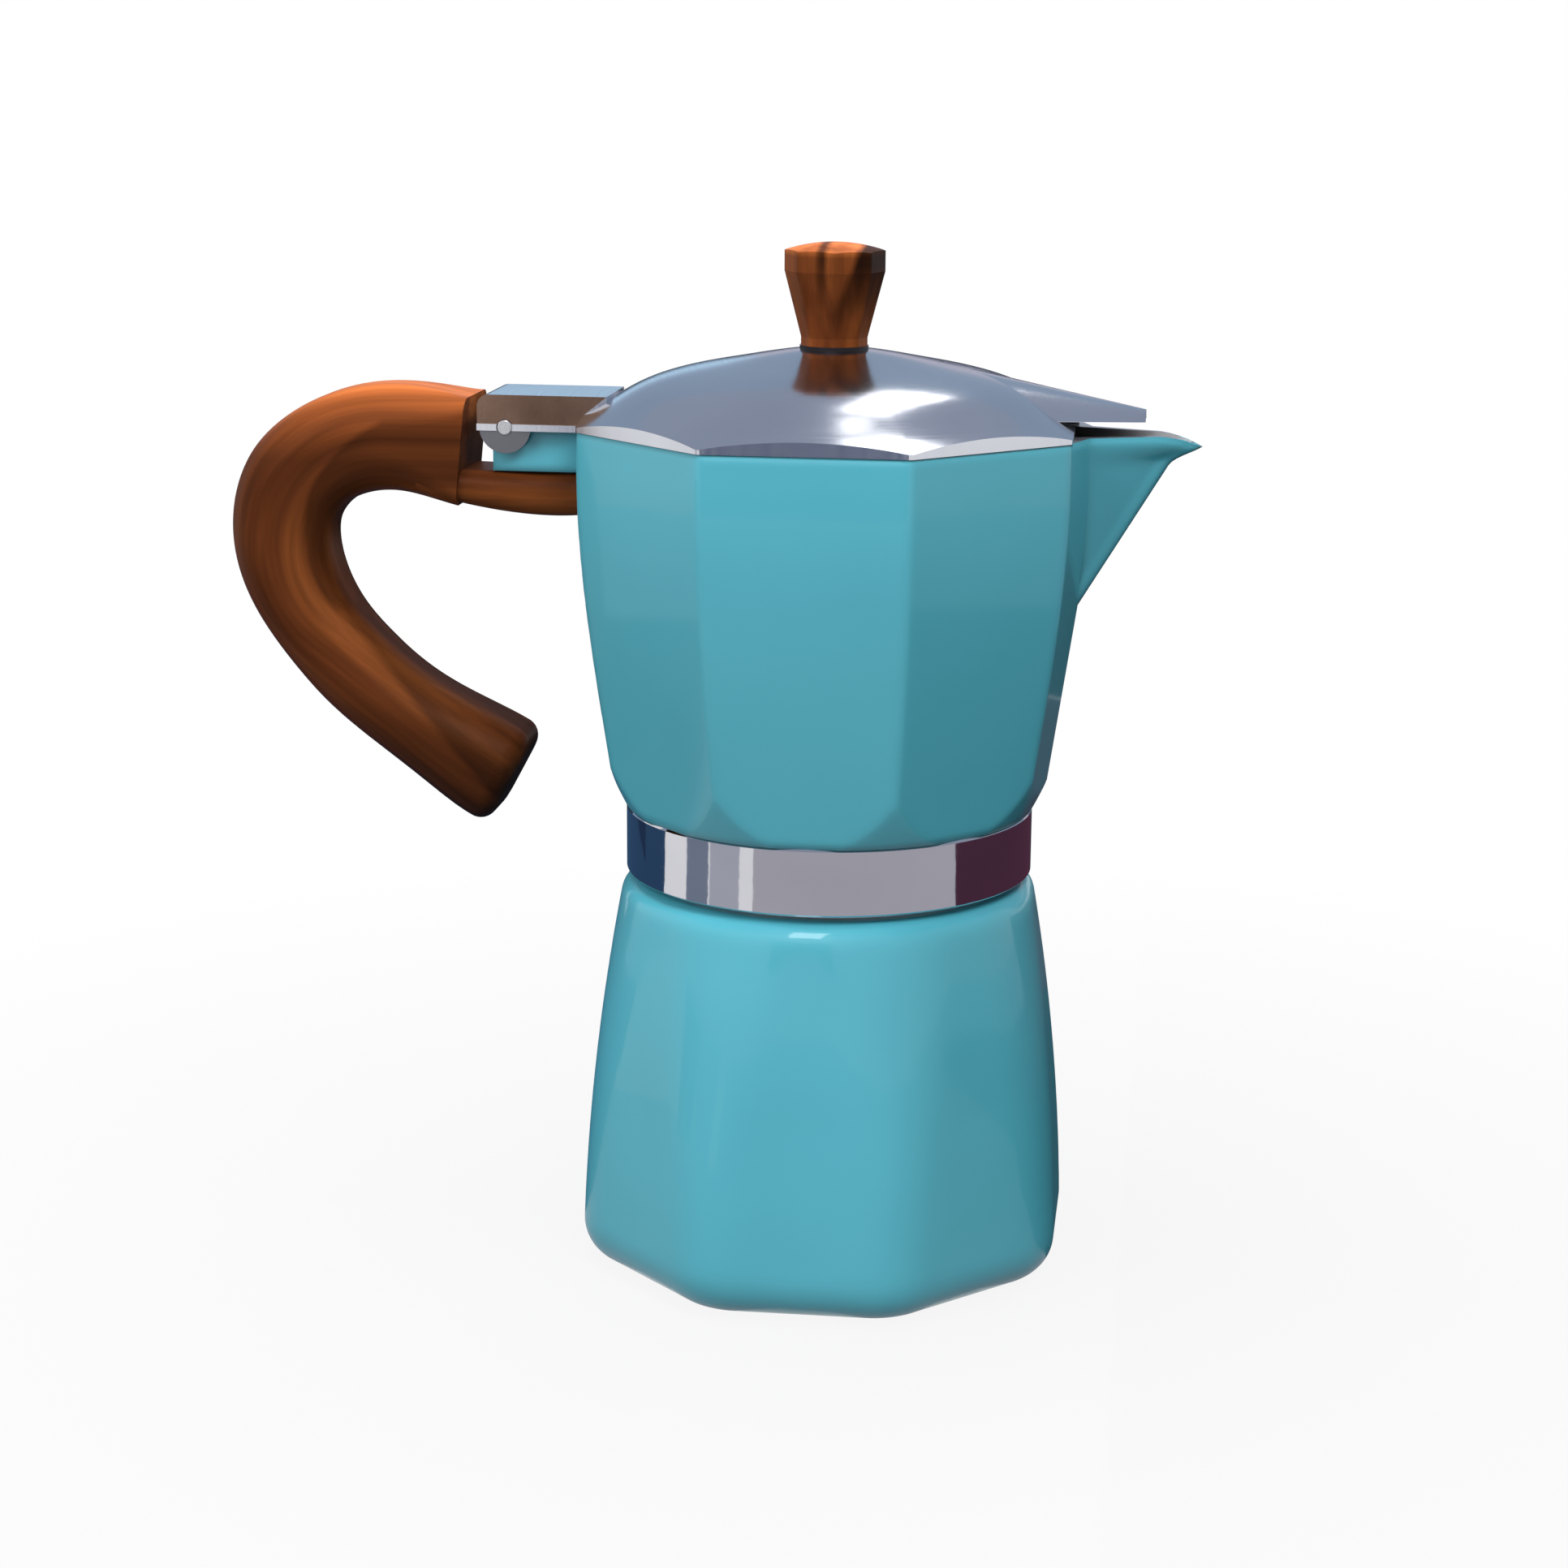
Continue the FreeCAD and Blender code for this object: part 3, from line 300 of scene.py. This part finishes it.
def spun_metal():
    """Polished sheet with a soft sheen and faint rings from the polishing wheel."""
    material, tree, shader, place = material_tree("spun_metal")
    shader.inputs["Metallic"].default_value = 1.0
    two_tones_on(tree, shader, place, 30, (0.60, 0.61, 0.66), (0.66, 0.67, 0.72))
    flat = tree.nodes.new("ShaderNodeVectorMath")
    flat.operation = "MULTIPLY"
    flat.inputs[1].default_value = (1, 1, 0)
    tree.links.new(place, flat.inputs[0])
    rings = tree.nodes.new("ShaderNodeTexNoise")
    rings.noise_dimensions = "1D"
    rings.inputs["Scale"].default_value = RINGS_PER_METRE
    tree.links.new(length_on(tree, flat.outputs["Vector"]), rings.inputs["W"])
    tree.links.new(range_on(tree, rings.outputs["Fac"], 0.13, 0.21), shader.inputs["Roughness"])
    bump_on(tree, shader, rings.outputs["Fac"], 0.00001, 0.25)
    return material


def lid_finish(middle, normal):
    """Polished outside. Painted shade below and on the ears, a painted brown reflection of the handle between
    plate and ledge, a painted shadow round the knob.
    """
    near_knob = middle.z > PAD_LEVEL and math.hypot(middle.x, middle.y) < STEP_RADIUS
    if near_knob and abs(normal.z) < STEP_NORMAL_UP:
        return KNOB_FOOT_SHADOW
    upright_side = middle.x < LUG_FRONT and abs(normal.y) > SIDE_NORMAL_ACROSS
    side = upright_side and BRACKET_SIDE < abs(middle.y) < EAR_SIDE
    if side and middle.z > LEDGE_LEVEL:
        return HANDLE_REFLECTION
    return SHADED_FINISH if side or normal.z < BELOW_NORMAL_UP else POLISHED


spun = spun_metal()
# Rough metal made far darker than the cast aluminium: painted shade on the ears and under the lid; the knob's
# washer uses it too.
shaded_metal = bare_metal("painted_shade_metal", (0.14, 0.14, 0.155), (0.20, 0.20, 0.22), 0.34, 0.5, 900)
# Painted reflection: brown metal on the bracket's sides, standing in for the wooden handle mirrored in the
# polished plate.
handle_reflection_metal = bare_metal("painted_handle_reflection", (0.13, 0.075, 0.05), (0.24, 0.15, 0.11), 0.2, 0.35, 900)
# Painted shadow: near-black metal on the step round the knob's foot, for the shadow line in the gap there.
knob_foot_shadow_metal = bare_metal("painted_knob_foot_shadow", (0.020, 0.018, 0.020), (0.040, 0.036, 0.040), 0.40, 0.55, 900)
dress("lid", spun, shaded_metal, handle_reflection_metal, knob_foot_shadow_metal, pick=lid_finish)
dress("hinge_pin", steel)

# Knob and handle: moulded grips printed with a brown wood grain under a satin lacquer. The knob is held by a
# screw from inside the lid in a brass insert, the handle by a screw from below through its tongue.
# Painted top light: the wood grows up to this many times paler towards the top, where light falls from above.
PAINTED_TOP_LIGHT_SHARE = 3.2
DARK_TIP_SHARE = 0.12
GRAIN_BROWNS = [
    (0.30, (0.052, 0.013, 0.003)),
    (0.42, (0.092, 0.024, 0.006)),
    (0.55, (0.138, 0.038, 0.009)),
    (0.72, (0.180, 0.053, 0.014)),
]


def number_on(tree, operation, first, second=0.0):
    """Arithmetic on two values, each a socket or a number."""
    node = tree.nodes.new("ShaderNodeMath")
    node.operation = operation
    for socket, value in zip(node.inputs, (first, second)):
        if isinstance(value, (int, float)):
            socket.default_value = value
        else:
            tree.links.new(value, socket)
    return node.outputs[0]


def lacquered_wood(name, grain_place, painted_shade, top_light_levels, dark_levels=None):
    """Streaked brown grain with painted shade on its shaded side and painted top light that pales it towards
    the top; where asked, darker at the tip.
    """
    material, tree, shader, place = material_tree(name)
    axes = tree.nodes.new("ShaderNodeSeparateXYZ")
    tree.links.new(place, axes.inputs[0])
    x, y, z = axes.outputs
    joined = tree.nodes.new("ShaderNodeCombineXYZ")
    for socket, value in zip(joined.inputs, grain_place(tree, x, y, z)):
        tree.links.new(value, socket)
    fibre = joined.outputs[0]
    streaks = noise_on(tree, fibre, 95, 3, (1, 1, 0.16))
    lines = range_on(tree, noise_on(tree, fibre, 620, 2, (1, 1, 0.06)), 0.72, 1.12, 0.3, 0.7)
    # Painted shade from the shaded-side mask, then painted top light that pales the top.
    shares = [painted_shade(tree, x, y, z), range_on(tree, z, 1.0, PAINTED_TOP_LIGHT_SHARE, *top_light_levels)]
    if dark_levels:
        shares.append(range_on(tree, z, DARK_TIP_SHARE, 1.0, *dark_levels))
    shade = lines
    for share in shares:
        shade = number_on(tree, "MULTIPLY", shade, share)
    brown = tree.nodes.new("ShaderNodeVectorMath")
    brown.operation = "SCALE"
    tree.links.new(ramp_on(tree, streaks, GRAIN_BROWNS), brown.inputs[0])
    tree.links.new(shade, brown.inputs["Scale"])
    tree.links.new(brown.outputs["Vector"], shader.inputs["Base Color"])
    tree.links.new(range_on(tree, streaks, 0.46, 0.34), shader.inputs["Roughness"])
    shader.inputs["Specular IOR Level"].default_value = 0.05
    bump_on(tree, shader, lines, 0.00004, 0.4)
    return material


# Levels over which the knob's top turns paler: painted top light.
KNOB_TOP_LIGHT_LEVELS = (0.1985, 0.2005)
KNOB_FOOT_LEVELS = (0.180, 0.190)
# The slant bounds the painted shade on the knob's spout side, away from the light.
SLANT_TOP_LEVEL = 0.1995
SLANT_LEAN = 0.37
SLANT_EDGE = (0.0046, 0.0060)
SLANT_LEVELS = (0.186, 0.197)
STREAK_X = -0.0015
STREAK_EDGE = (0.0003, 0.0014)
STREAK_LEVELS = (0.186, 0.198)


def upright(tree, x, y, z):
    """Grain that runs straight up."""
    return x, y, z


def knob_painted_shade(tree, x, y, z):
    """Painted shade past a slanting line on the spout side, blackest at the top, with a streak and a pale
    foot.
    """
    lean = number_on(tree, "MULTIPLY", number_on(tree, "SUBTRACT", SLANT_TOP_LEVEL, z), SLANT_LEAN)
    past_slant = range_on(tree, number_on(tree, "ADD", x, lean), 0.0, 1.0, *SLANT_EDGE)
    slant = number_on(tree, "MULTIPLY", past_slant, range_on(tree, z, 0.30, 0.90, *SLANT_LEVELS))
    off_streak = number_on(tree, "ABSOLUTE", number_on(tree, "SUBTRACT", x, STREAK_X))
    on_streak = range_on(tree, off_streak, 1.0, 0.0, *STREAK_EDGE)
    streak = number_on(tree, "MULTIPLY", on_streak, range_on(tree, z, 0.0, 0.75, *STREAK_LEVELS))
    shade = range_on(tree, z, 1.9, 1.15, *KNOB_FOOT_LEVELS)
    for darkness in (slant, streak):
        shade = number_on(tree, "MULTIPLY", shade, number_on(tree, "SUBTRACT", 1.0, darkness))
    return shade


# Levels over which the handle's top turns paler (painted top light), then those where it darkens towards the
# tip.
HANDLE_TOP_LIGHT_LEVELS = (0.158, 0.174)
HANDLE_DARK_LEVELS = (0.084, 0.118)
BEND_X = -0.086
BEND_Z = 0.141
ARM_ALONG = (0.796, -0.605)
ARM_OUT = (-0.605, -0.796)
ARM_LENGTH = 0.060
# Painted shade on the handle: a line along the grip, past which the wood is darkened, lightening again
# towards the inner edge.
SHADE_LINE = 0.0162
SHADE_LINE_AT_LUG = 0.0088
SHADE_LINE_AT_ARM_END = 0.0128
SHADE_LINE_LUG_REACH = (-0.106, -0.086)
SHADE_LINE_LUG_RISE = 0.010
SHADE_EDGE = 0.0007
SHADE_EASE_WIDTH = 0.014


def from_bend(tree, x, z):
    """How far a place is ahead of the middle of the grip's bend and above it."""
    return number_on(tree, "SUBTRACT", x, BEND_X), number_on(tree, "SUBTRACT", z, BEND_Z)


def dot_on(tree, first, second):
    """Sum of the products of two pairs."""
    return number_on(tree, "ADD", *(number_on(tree, "MULTIPLY", a, b) for a, b in zip(first, second)))


def choice_on(tree, test, yes, no):
    """One value where the test is 1 and the other where it is 0."""
    return dot_on(tree, (test, number_on(tree, "SUBTRACT", 1.0, test)), (yes, no))


def round_the_bend(tree, x, y, z):
    """Grain along the grip: level at the lug, round its bend, then straight down the lower arm."""
    ahead, above = from_bend(tree, x, z)
    bend = number_on(tree, "SQRT", dot_on(tree, (ahead, above), (ahead, above)))
    in_front = number_on(tree, "GREATER_THAN", ahead, 0.0)
    at_lug = number_on(tree, "MULTIPLY", in_front, number_on(tree, "GREATER_THAN", above, 0.0))
    on_arm = number_on(tree, "GREATER_THAN", dot_on(tree, (ahead, above), ARM_ALONG), 0.0)
    on_lower_arm = number_on(tree, "MULTIPLY", on_arm, number_on(tree, "LESS_THAN", above, 0.0))
    upper = choice_on(tree, at_lug, above, bend)
    across = choice_on(tree, on_lower_arm, dot_on(tree, (ahead, above), ARM_OUT), upper)
    return across, y, z


def handle_painted_shade(tree, x, y, z):
    """Painted shade on the grip's inner side, past a line that runs along it from its top at the lug to the
    arm's end, easing off towards the inner edge.
    """
    ahead, above = from_bend(tree, x, z)
    along_arm = dot_on(tree, (ahead, above), ARM_ALONG)
    lug_rise = range_on(tree, x, 0.0, SHADE_LINE_AT_LUG, *SHADE_LINE_LUG_REACH)
    near_lug = number_on(tree, "MULTIPLY", lug_rise, range_on(tree, above, 0.0, 1.0, 0.0, SHADE_LINE_LUG_RISE))
    arm_rise = range_on(tree, along_arm, 0.0, SHADE_LINE_AT_ARM_END, 0.0, ARM_LENGTH)
    near_end = number_on(tree, "MULTIPLY", arm_rise, number_on(tree, "LESS_THAN", above, 0.0))
    line = number_on(tree, "ADD", number_on(tree, "ADD", near_lug, near_end), SHADE_LINE)
    past = number_on(tree, "SUBTRACT", round_the_bend(tree, x, y, z)[0], line)
    edge = range_on(tree, past, 0.5, 1.0, -SHADE_EDGE, SHADE_EDGE)
    return number_on(tree, "MULTIPLY", edge, range_on(tree, past, 1.7, 1.0, -SHADE_EASE_WIDTH, -SHADE_EDGE))


knob_wood = lacquered_wood("knob_wood", upright, knob_painted_shade, KNOB_TOP_LIGHT_LEVELS)
handle_wood = lacquered_wood(
    "handle_wood", round_the_bend, handle_painted_shade, HANDLE_TOP_LIGHT_LEVELS, HANDLE_DARK_LEVELS
)
dress("lid_knob", knob_wood)
dress("handle", handle_wood)
dress("knob_insert", brass)
dress("knob_washer", shaded_metal)
for part in ("handle_washer", "handle_screw", "knob_screw"):
    dress(part, steel)

# Studio: a white floor that runs on without an edge, with soft boxes at the left, front right, back and top.
# Plain cards stand round the pot for its metal to mirror, and two dark flags keep soft light from the spout's
# side. The camera stands where the photograph was taken from.
SKY_STRENGTH = 0.7
WHITE_STRENGTH = 1.0
FLOOR_SIDE = 12
SHADOW_SHARE = 0.90
SHADOW_REACH = (0.05, 0.32)


def seen_on(tree):
    """Factor that is 1 for what the camera, mirrors and glass see."""
    path = tree.nodes.new("ShaderNodeLightPath")
    seen = number_on(tree, "MAXIMUM", path.outputs["Is Camera Ray"], path.outputs["Is Glossy Ray"])
    return number_on(tree, "MAXIMUM", seen, path.outputs["Is Transmission Ray"])


def studio_world():
    """White backdrop that lights the pot with less than its own brightness."""
    world = bpy.data.worlds.new("studio_world")
    bpy.context.scene.world = world
    world.use_nodes = True
    tree = world.node_tree
    for node in list(tree.nodes):
        tree.nodes.remove(node)
    blend = tree.nodes.new("ShaderNodeMixShader")
    tree.links.new(seen_on(tree), blend.inputs["Fac"])
    for slot, strength in ((1, SKY_STRENGTH), (2, WHITE_STRENGTH)):
        white = tree.nodes.new("ShaderNodeBackground")
        white.inputs["Color"].default_value = (1, 1, 1, 1)
        white.inputs["Strength"].default_value = strength
        tree.links.new(white.outputs[0], blend.inputs[slot])
    out = tree.nodes.new("ShaderNodeOutputWorld")
    tree.links.new(blend.outputs[0], out.inputs["Surface"])


def stage_piece(name, shape, material):
    """Object that belongs to the studio, not to the pot."""
    mesh = bpy.data.meshes.new(name)
    shape.to_mesh(mesh)
    shape.free()
    mesh.materials.append(material)
    piece = bpy.data.objects.new(name, mesh)
    bpy.context.scene.collection.objects.link(piece)
    return piece


def stage_plane(name, place, facing, size, material):
    """Flat rectangle of the studio, its middle and the way that it faces."""
    shape = bmesh.new()
    bmesh.ops.create_grid(shape, x_segments=1, y_segments=1, size=0.5)
    plane = stage_piece(name, shape, material)
    plane.location = place
    plane.rotation_euler = Vector(facing).to_track_quat("Z", "Y").to_euler()
    plane.scale = (*size, 1)
    return plane


def floor_white():
    """White floor with a light shadow near the pot, pure white farther out."""
    material, tree, shader, place = material_tree("floor_white")
    shader.inputs["Base Color"].default_value = (0.18, 0.18, 0.18, 1)
    shader.inputs["Roughness"].default_value = 0.6
    shader.inputs["Specular IOR Level"].default_value = 0.1
    glow = tree.nodes.new("ShaderNodeEmission")
    glow.inputs["Strength"].default_value = WHITE_STRENGTH
    world_place = tree.nodes.new("ShaderNodeNewGeometry")
    distance = length_on(tree, world_place.outputs["Position"])
    even = range_on(tree, distance, SHADOW_SHARE, 1.0, *SHADOW_REACH)
    blend = tree.nodes.new("ShaderNodeMixShader")
    tree.links.new(number_on(tree, "MULTIPLY", seen_on(tree), even), blend.inputs["Fac"])
    tree.links.new(shader.outputs[0], blend.inputs[1])
    tree.links.new(glow.outputs[0], blend.inputs[2])
    tree.links.new(blend.outputs[0], tree.nodes["Material Output"].inputs["Surface"])
    return material


studio_world()
stage_plane("studio_floor", (0, 0, 0), (0, 0, 1), (FLOOR_SIDE, FLOOR_SIDE), floor_white())


def card_glow(name, colour, strength=1.0):
    """Even glow of a card."""
    material = bpy.data.materials.new(name)
    material.use_nodes = True
    tree = material.node_tree
    tree.nodes.remove(tree.nodes["Principled BSDF"])
    glow = tree.nodes.new("ShaderNodeEmission")
    glow.inputs["Color"].default_value = (*colour, 1)
    glow.inputs["Strength"].default_value = strength
    tree.links.new(glow.outputs[0], tree.nodes["Material Output"].inputs["Surface"])
    return material


def for_mirrors_only(card):
    """Hides a card from the camera and from soft light, so that only mirrors see it."""
    card.visible_camera = False
    card.visible_diffuse = False
    card.visible_shadow = False


def mirror_card(name, place, facing, size, colour, strength=1.0):
    """Standing or hanging card."""
    for_mirrors_only(stage_plane(name, place, facing, size, card_glow(name, colour, strength)))


SECTOR_STEPS = 8
SECTOR_LIFT = 0.001


def mirror_sector(name, start, end, inner, outer, colour):
    """Card on the floor, a sector round the pot. Angles run from the front towards the spout."""
    shape = bmesh.new()
    angles = [math.radians(start + (end - start) * k / SECTOR_STEPS) for k in range(SECTOR_STEPS + 1)]
    rims = []
    for radius in (inner, outer):
        places = [(radius * math.sin(angle), -radius * math.cos(angle), SECTOR_LIFT) for angle in angles]
        rims.append([shape.verts.new(place) for place in places])
    for k in range(SECTOR_STEPS):
        shape.faces.new((rims[0][k], rims[1][k], rims[1][k + 1], rims[0][k + 1]))
    for_mirrors_only(stage_piece(name, shape, card_glow(name, colour)))


POT_EDGE, NEAR, MIDDLE, FAR, OUTER = 0.045, 0.2, 0.46, 0.9, 1.5
HANDLE_SIDE, LEFT_EDGE, RIGHT_EDGE, BACK_EDGE = -94, -34, 78, 165
DARK_TEAL = (0.020, 0.040, 0.055)
NEAR_BLACK = (0.030, 0.035, 0.050)
PALE_BLUE = (0.52, 0.64, 0.80)
WHITE = (1, 1, 1)

mirror_sector("front_sector", LEFT_EDGE, RIGHT_EDGE, POT_EDGE, 0.8, (0.52, 0.51, 0.55))
mirror_sector("maroon_sector", RIGHT_EDGE, BACK_EDGE, NEAR, MIDDLE, (0.080, 0.030, 0.055))
mirror_sector("pale_sector", RIGHT_EDGE, 120, MIDDLE, FAR, PALE_BLUE)
mirror_sector("dusk_sector", 120, BACK_EDGE, MIDDLE, OUTER, DARK_TEAL)
mirror_sector("shade_sector", RIGHT_EDGE, BACK_EDGE, POT_EDGE, NEAR, DARK_TEAL)
mirror_sector("back_sector", BACK_EDGE, 200, POT_EDGE, OUTER, NEAR_BLACK)
mirror_sector("navy_sector", -160, HANDLE_SIDE, POT_EDGE, MIDDLE, (0.030, 0.073, 0.150))
mirror_sector("mist_sector", -130, HANDLE_SIDE, MIDDLE, FAR, PALE_BLUE)
mirror_sector("stripe_sector", -76, -61, NEAR, OUTER, (0.22, 0.26, 0.34))
mirror_sector("grey_sector", -60, -42, NEAR, OUTER, (0.50, 0.52, 0.58))
mirror_sector("side_sector", HANDLE_SIDE, LEFT_EDGE, POT_EDGE, NEAR, (0.52, 0.52, 0.56))

DOWN, FORWARD, BACKWARD, RIGHT, LEFT = (0, 0, -1), (0, -1, 0), (0, 1, 0), (1, 0, 0), (-1, 0, 0)

mirror_card("ceiling_card", (0, 0.1, 0.95), DOWN, (2.4, 2.0), (0.33, 0.38, 0.48))
mirror_card("far_card", (0, 1.002, 0.665), FORWARD, (2.4, 0.57), (0.29, 0.38, 0.50))
mirror_card("horizon_card", (-0.70, 1.0, 0.275), FORWARD, (1.0, 0.21), (0.55, 0.78, 1.0))
mirror_card("dusk_card", (0.50, 1.0, 0.225), FORWARD, (1.4, 0.11), (0.15, 0.19, 0.28))
mirror_card("dawn_card", (0.50, 1.0, 0.34), FORWARD, (1.4, 0.12), (0.58, 0.56, 0.66))
mirror_card("back_card", (-0.16, 0.36, 0.10), FORWARD, (0.39, 0.205), NEAR_BLACK)
mirror_card("navy_card", (-0.30, 0.19, 0.055), RIGHT, (0.11, 0.34), (0.020, 0.040, 0.090))
mirror_card("front_card", (-0.055, -0.43, 0.12), BACKWARD, (0.16, 0.08), (0.10, 0.13, 0.22))
mirror_card("lid_window", (0.05, 0.43, 0.73), (-0.05, -0.64, -0.77), (0.12, 0.36), WHITE, 3.0)
mirror_card("lid_strip", (0.03, 0.08, 0.88), DOWN, (0.08, 0.36), WHITE, 2.5)
mirror_card("shoulder_lamp", (-0.066, -0.58, 0.59), (0.09, 0.72, -0.68), (0.10, 0.42), WHITE, 12.0)

flag_glow = card_glow("black_flag", (0.01, 0.02, 0.025))
for name, place, facing, size in (
    ("black_flag", (0.24, 0.17, 0.30), LEFT, (0.60, 0.60)),
    ("black_apron", (0.23, 0.15, 0.0006), (0, 0, 1), (0.34, 0.70)),
):
    flag = stage_plane(name, place, facing, size, flag_glow)
    flag.visible_camera = False
    flag.visible_glossy = False
    flag.visible_shadow = False


def soft_box(name, place, aim, size, power):
    """Rectangular lamp that points at aim. Mirrors don't see it."""
    lamp = bpy.data.lights.new(name, "AREA")
    lamp.shape = "RECTANGLE"
    lamp.size, lamp.size_y = size
    lamp.energy = power
    lamp_object = bpy.data.objects.new(name, lamp)
    lamp_object.location = place
    lamp_object.rotation_euler = (Vector(aim) - Vector(place)).to_track_quat("-Z", "Y").to_euler()
    lamp_object.visible_glossy = False
    bpy.context.scene.collection.objects.link(lamp_object)


POT_MIDDLE = (0, 0, 0.1)

soft_box("key_light", (-0.61, -0.73, 0.65), POT_MIDDLE, (0.6, 0.6), 5.0)
soft_box("fill_light", (0.36, -0.60, 0.92), POT_MIDDLE, (0.4, 0.4), 8.8)
soft_box("back_light", (0.15, 0.90, 0.70), POT_MIDDLE, (0.6, 0.5), 4.0)
soft_box("top_light", (-0.15, -0.05, 1.0), (-0.05, 0, 0.1), (0.4, 0.4), 9.0)

PHOTO_SIDE_PIXELS = 1932
FOCAL_PIXELS = 3905
SHIFT_PIXELS = -56.2
SENSOR_WIDTH = 36.0
CAMERA_ROLL_DEGREES = 0.6
CAMERA_PLACE = Vector((0.0679, -0.6052, 0.2403))
CAMERA_TARGET = Vector((0, 0, 0.0952))

camera_data = bpy.data.cameras.new("photo_camera")
camera_data.sensor_width = SENSOR_WIDTH
camera_data.lens = SENSOR_WIDTH * FOCAL_PIXELS / PHOTO_SIDE_PIXELS
camera_data.shift_x = SHIFT_PIXELS / PHOTO_SIDE_PIXELS
camera = bpy.data.objects.new("photo_camera", camera_data)
bpy.context.scene.collection.objects.link(camera)
heading = (CAMERA_TARGET - CAMERA_PLACE).to_track_quat("-Z", "Y").to_matrix().to_4x4()
roll = Matrix.Rotation(math.radians(CAMERA_ROLL_DEGREES), 4, "Z")
camera.matrix_world = Matrix.Translation(CAMERA_PLACE) @ heading @ roll
bpy.context.scene.camera = camera
bpy.context.scene.view_settings.view_transform = "Standard"
